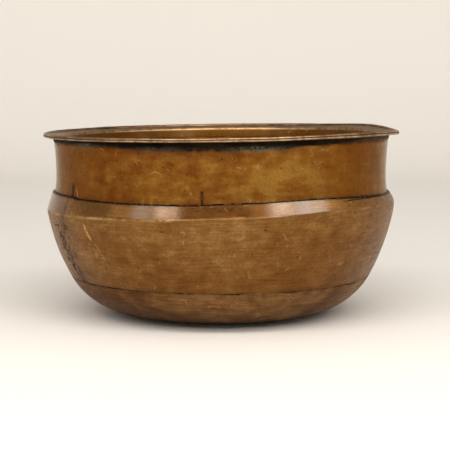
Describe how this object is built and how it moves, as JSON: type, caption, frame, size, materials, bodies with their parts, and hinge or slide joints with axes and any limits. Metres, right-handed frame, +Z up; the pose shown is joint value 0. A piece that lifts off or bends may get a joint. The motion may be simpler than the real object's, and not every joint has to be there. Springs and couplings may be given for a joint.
{
  "type": "brass urli bowl",
  "caption": "Wide round bowl of beaten sheet brass with an out-turned lip, a waisted neck, a ridged shoulder and a dished base.",
  "frame": {"origin": "centre of the flat that the bowl rests on", "axes": "+Z up along the bowl's axis; the pictured side faces -Y"},
  "size_m": [0.3, 0.3, 0.155],
  "materials": {
    "lip_brass": "aged brass, worn brighter along the hammered edge",
    "dark_spelter": "rough dark braze with grey-green crust along its lower edge",
    "neck_brass": "aged brass with an orange-brown mottled patina, satin",
    "body_brass": "aged brass, burnished on the shoulder, duller and finely scratched on the belly",
    "base_brass": "aged brass with a browner, duller patina",
    "braze": "dull dark braze"
  },
  "bodies": {
    "root": {"rim_flange": "lip_brass", "rim_solder_bead": "dark_spelter", "neck_band": "neck_brass", "neck_side_braze": "braze", "neck_seam_braze": "braze", "body_shell": "body_brass", "body_side_braze": "braze", "base_seam_braze": "braze", "base_pan": "base_brass"}
  },
  "joints": []
}
